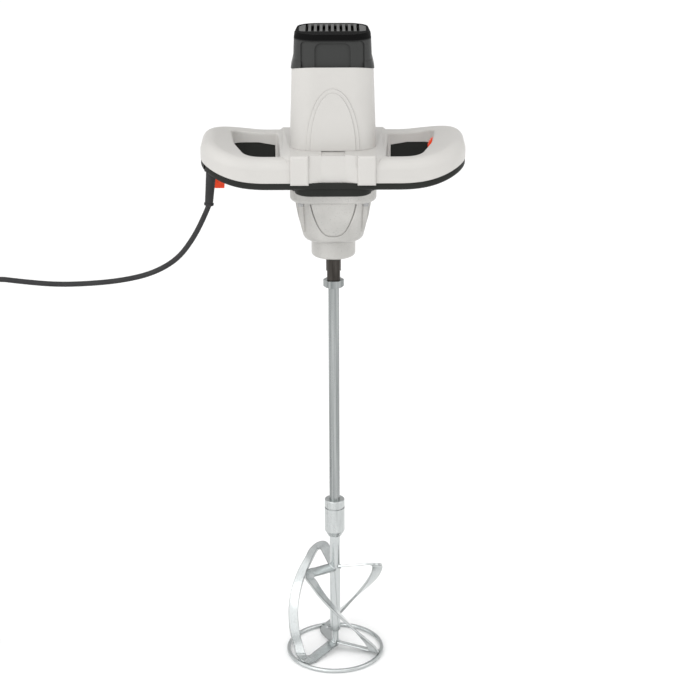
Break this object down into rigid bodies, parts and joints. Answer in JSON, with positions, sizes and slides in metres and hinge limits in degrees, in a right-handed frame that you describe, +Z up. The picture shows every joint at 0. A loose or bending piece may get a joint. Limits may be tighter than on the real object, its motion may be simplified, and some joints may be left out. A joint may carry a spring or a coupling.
{
  "type": "paddle mixer",
  "caption": "Electric mixing drill with a two-handed loop handle, cast gearbox, red trigger and speed dial, and a screwed-in mixing paddle of twisted blades on a ring.",
  "frame": {"origin": "on the floor under the middle of the mixing ring, on the spindle axis", "axes": "+Z up along the spindle, -Y towards the front of the tool, -X towards the cord and the trigger"},
  "size_m": [0.7969, 0.168, 0.898],
  "materials": {
    "light_housing": "satin moulded plastic, fine texture",
    "pale_grey_plastic": "matt moulded plastic",
    "black_plastic": "fine-textured matt plastic",
    "black_rubber": "matt rubber",
    "red_plastic": "satin plastic",
    "cast_aluminium": "die-cast, bead blasted",
    "zinc_steel": "bright zinc plated",
    "black_steel": "blackened steel, satin",
    "gear_steel": "machined, oiled",
    "bearing_steel": "ground",
    "screw_steel": "zinc plated, dull",
    "core_steel": "stacked sheets, varnished",
    "copper": "turned",
    "carbon": "matt graphite",
    "brass": "pressed sheet",
    "fan_plastic": "moulded",
    "plated_pins": "nickel plated"
  },
  "bodies": {
    "tool": {"motor_housing": "light_housing", "handle_upper_shell": "light_housing", "vent_grille": "pale_grey_plastic", "top_cap": "black_plastic", "handle_lower_shell": "black_plastic", "switch_module": "black_plastic", "speed_module": "black_plastic", "plug_body": "black_plastic", "cord_guard": "black_rubber", "cord_lead": "black_rubber", "cord_coil": "black_rubber", "cord_tail": "black_rubber", "cord_tie": "black_rubber", "oil_seal": "black_rubber", "gearbox_housing": "cast_aluminium", "gear_plate": "cast_aluminium", "trigger_pin": "gear_steel", "lower_spindle_bearing": "bearing_steel", "upper_spindle_bearing": "bearing_steel", "lower_counter_bearing": "bearing_steel", "upper_counter_bearing": "bearing_steel", "lower_motor_bearing": "bearing_steel", "upper_motor_bearing": "bearing_steel", "case_bolts": "screw_steel", "handle_screws": "screw_steel", "gearbox_screws": "screw_steel", "stator": "core_steel", "carbon_brushes": "carbon", "brush_holders": "brass", "plug_pins": "plated_pins"},
    "paddle": {"spindle": "black_steel", "output_gear": "gear_steel", "gear_clip": "gear_steel", "upper_shaft": "zinc_steel", "shaft_coupling": "zinc_steel", "lower_shaft": "zinc_steel", "mixing_ring": "zinc_steel", "blade_1": "zinc_steel", "blade_2": "zinc_steel", "blade_3": "zinc_steel"},
    "counter_gears": {"counter_shaft": "gear_steel", "counter_gear": "gear_steel"},
    "armature": {"armature_shaft": "gear_steel", "armature_core": "core_steel", "commutator": "copper", "cooling_fan": "fan_plastic"},
    "trigger_lever": {"trigger": "red_plastic"},
    "dial": {"speed_dial": "red_plastic"}
  },
  "joints": [
    {"name": "spindle_spin", "type": "hinge", "parent": "tool", "child": "paddle", "pos_m": [0, 0, 0.6], "axis": [0, 0, 1], "continuous": true},
    {"name": "counter_spin", "type": "hinge", "parent": "tool", "child": "counter_gears", "pos_m": [0, 0.0255, 0.67], "axis": [0, 0, 1], "continuous": true},
    {"name": "armature_spin", "type": "hinge", "parent": "tool", "child": "armature", "pos_m": [0, 0, 0.78], "axis": [0, 0, 1], "continuous": true},
    {"name": "trigger_squeeze", "type": "hinge", "parent": "tool", "child": "trigger_lever", "pos_m": [-0.148, 0.027, 0.72729], "axis": [-1, 0, 0], "range_deg": [0, 7.5], "stiffness_Nm_per_rad": 2},
    {"name": "speed_dial_turn", "type": "hinge", "parent": "tool", "child": "dial", "pos_m": [0.13887, 0.02, 0.73947], "axis": [0, 1, 0], "range_deg": [-135, 135]}
  ],
  "couplings": [
    {"joint": "counter_spin", "follows": "spindle_spin", "ratio": -3.8571},
    {"joint": "armature_spin", "follows": "spindle_spin", "ratio": 20.732}
  ]
}
